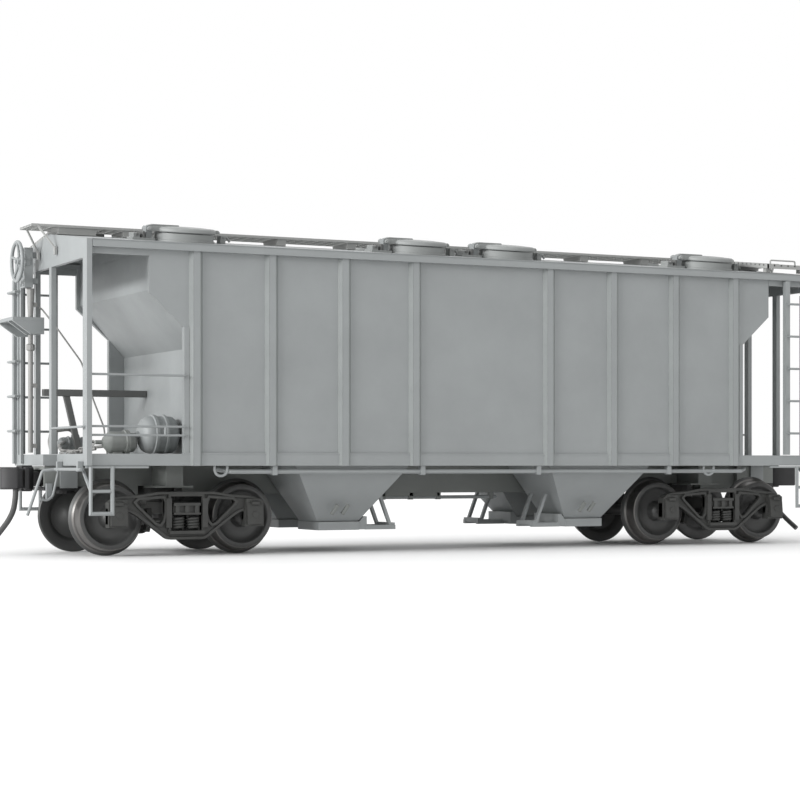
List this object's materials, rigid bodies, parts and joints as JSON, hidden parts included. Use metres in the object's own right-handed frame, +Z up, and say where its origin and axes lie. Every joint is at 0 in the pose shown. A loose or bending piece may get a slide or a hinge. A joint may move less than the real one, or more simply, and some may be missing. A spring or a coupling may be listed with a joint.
{
  "type": "model hopper car",
  "caption": "Scale-model covered railway hopper car with ribbed sides, round roof hatches, open ends, sprung couplers and swivelling trucks with rolling wheelsets.",
  "frame": {"origin": "under the middle of the car, level with the bottoms of the wheel flanges", "axes": "+X along the car towards its right end, away from the hand brake; -Y towards the front side; +Z up"},
  "size_m": [0.1392, 0.0376, 0.0472],
  "materials": {
    "body_grey": "light grey satin paint over moulded plastic",
    "board_grey": "light grey moulded plastic, see-through grid",
    "truck_cast": "dark warm grey moulding",
    "wheel_steel": "dark metal with brighter treads",
    "screw_steel": "dark metal",
    "coupler_black": "near-black metal",
    "weight_steel": "plain steel"
  },
  "bodies": {
    "carbody": {"side_panel_front": "body_grey", "side_panel_rear": "body_grey", "hopper_core": "body_grey", "roof": "body_grey", "running_board": "board_grey", "lateral_board_right": "board_grey", "lateral_board_left": "board_grey", "underframe": "body_grey", "ballast_weight": "weight_steel", "train_line": "body_grey", "side_ladder_front": "body_grey", "side_ladder_rear": "body_grey", "brake_cylinder": "body_grey", "air_reservoir": "body_grey", "control_valve": "body_grey", "brake_lever": "body_grey", "brake_housing": "body_grey", "brake_rod": "body_grey", "brake_step": "body_grey", "end_frame_left": "body_grey", "end_ladder_left": "body_grey", "coupler_box_lid_left": "coupler_black", "truck_screw_left": "screw_steel", "stirrup_step_left_front": "body_grey", "outlet_gate_left_front": "body_grey", "stirrup_step_left_rear": "body_grey", "outlet_gate_left_rear": "body_grey", "end_frame_right": "body_grey", "end_ladder_right": "body_grey", "coupler_box_lid_right": "coupler_black", "truck_screw_right": "screw_steel", "stirrup_step_right_front": "body_grey", "outlet_gate_right_front": "body_grey", "stirrup_step_right_rear": "body_grey", "outlet_gate_right_rear": "body_grey"},
    "hatch_1": {"hatch_lid_1": "body_grey"},
    "hatch_2": {"hatch_lid_2": "body_grey"},
    "hatch_3": {"hatch_lid_3": "body_grey"},
    "hatch_4": {"hatch_lid_4": "body_grey"},
    "hatch_5": {"hatch_lid_5": "body_grey"},
    "hatch_6": {"hatch_lid_6": "body_grey"},
    "hatch_7": {"hatch_lid_7": "body_grey"},
    "hatch_8": {"hatch_lid_8": "body_grey"},
    "brake_wheel": {"brake_wheel": "body_grey"},
    "truck_left": {"truck_bolster_left": "truck_cast", "side_frame_left_front": "truck_cast", "side_frame_left_rear": "truck_cast"},
    "wheelset_1": {"wheelset_1": "wheel_steel"},
    "wheelset_2": {"wheelset_2": "wheel_steel"},
    "coupler_left": {"coupler_left": "coupler_black"},
    "knuckle_left": {"knuckle_left": "coupler_black"},
    "truck_right": {"truck_bolster_right": "truck_cast", "side_frame_right_front": "truck_cast", "side_frame_right_rear": "truck_cast"},
    "wheelset_3": {"wheelset_3": "wheel_steel"},
    "wheelset_4": {"wheelset_4": "wheel_steel"},
    "coupler_right": {"coupler_right": "coupler_black"},
    "knuckle_right": {"knuckle_right": "coupler_black"}
  },
  "joints": [
    {"name": "hatch_1_hinge", "type": "hinge", "parent": "carbody", "child": "hatch_1", "pos_m": [-0.0504, -0.01022, 0.04633], "axis": [0, -0.9916, -0.1297], "range_deg": [0, 105]},
    {"name": "hatch_2_hinge", "type": "hinge", "parent": "carbody", "child": "hatch_2", "pos_m": [-0.01315, -0.01022, 0.04633], "axis": [0, -0.9916, -0.1297], "range_deg": [0, 105]},
    {"name": "hatch_3_hinge", "type": "hinge", "parent": "carbody", "child": "hatch_3", "pos_m": [0.00215, -0.01022, 0.04633], "axis": [0, -0.9916, -0.1297], "range_deg": [0, 105]},
    {"name": "hatch_4_hinge", "type": "hinge", "parent": "carbody", "child": "hatch_4", "pos_m": [0.0394, -0.01022, 0.04633], "axis": [0, -0.9916, -0.1297], "range_deg": [0, 105]},
    {"name": "hatch_5_hinge", "type": "hinge", "parent": "carbody", "child": "hatch_5", "pos_m": [-0.0504, 0.01022, 0.04633], "axis": [0, -0.9916, 0.1297], "range_deg": [0, 105]},
    {"name": "hatch_6_hinge", "type": "hinge", "parent": "carbody", "child": "hatch_6", "pos_m": [-0.01315, 0.01022, 0.04633], "axis": [0, -0.9916, 0.1297], "range_deg": [0, 105]},
    {"name": "hatch_7_hinge", "type": "hinge", "parent": "carbody", "child": "hatch_7", "pos_m": [0.00215, 0.01022, 0.04633], "axis": [0, -0.9916, 0.1297], "range_deg": [0, 105]},
    {"name": "hatch_8_hinge", "type": "hinge", "parent": "carbody", "child": "hatch_8", "pos_m": [0.0394, 0.01022, 0.04633], "axis": [0, -0.9916, 0.1297], "range_deg": [0, 105]},
    {"name": "brake_wheel_spin", "type": "hinge", "parent": "carbody", "child": "brake_wheel", "pos_m": [-0.0647, 0.0059, 0.04244], "axis": [-1, 0, 0], "continuous": true},
    {"name": "truck_left_swivel", "type": "hinge", "parent": "carbody", "child": "truck_left", "pos_m": [-0.0458, 0, 0.008], "axis": [0, 0, 1], "range_deg": [-12, 12]},
    {"name": "wheelset_1_spin", "type": "hinge", "parent": "truck_left", "child": "wheelset_1", "pos_m": [-0.05572, 0, 0.00545], "axis": [0, 1, 0], "continuous": true},
    {"name": "wheelset_2_spin", "type": "hinge", "parent": "truck_left", "child": "wheelset_2", "pos_m": [-0.03589, 0, 0.00545], "axis": [0, 1, 0], "continuous": true},
    {"name": "coupler_left_swing", "type": "hinge", "parent": "carbody", "child": "coupler_left", "pos_m": [-0.0592, 0, 0.01094], "axis": [0, 0, 1], "range_deg": [-15, 15], "stiffness_Nm_per_rad": 0.00005},
    {"name": "knuckle_left_open", "type": "hinge", "parent": "coupler_left", "child": "knuckle_left", "pos_m": [-0.0671, -0.0019, 0.01094], "axis": [0, 0, 1], "range_deg": [0, 25], "stiffness_Nm_per_rad": 0.00002},
    {"name": "truck_right_swivel", "type": "hinge", "parent": "carbody", "child": "truck_right", "pos_m": [0.0458, 0, 0.008], "axis": [0, 0, 1], "range_deg": [-12, 12]},
    {"name": "wheelset_3_spin", "type": "hinge", "parent": "truck_right", "child": "wheelset_3", "pos_m": [0.03589, 0, 0.00545], "axis": [0, 1, 0], "continuous": true},
    {"name": "wheelset_4_spin", "type": "hinge", "parent": "truck_right", "child": "wheelset_4", "pos_m": [0.05572, 0, 0.00545], "axis": [0, 1, 0], "continuous": true},
    {"name": "coupler_right_swing", "type": "hinge", "parent": "carbody", "child": "coupler_right", "pos_m": [0.0592, 0, 0.01094], "axis": [0, 0, 1], "range_deg": [-15, 15], "stiffness_Nm_per_rad": 0.00005},
    {"name": "knuckle_right_open", "type": "hinge", "parent": "coupler_right", "child": "knuckle_right", "pos_m": [0.0671, 0.0019, 0.01094], "axis": [0, 0, 1], "range_deg": [0, 25], "stiffness_Nm_per_rad": 0.00002}
  ]
}
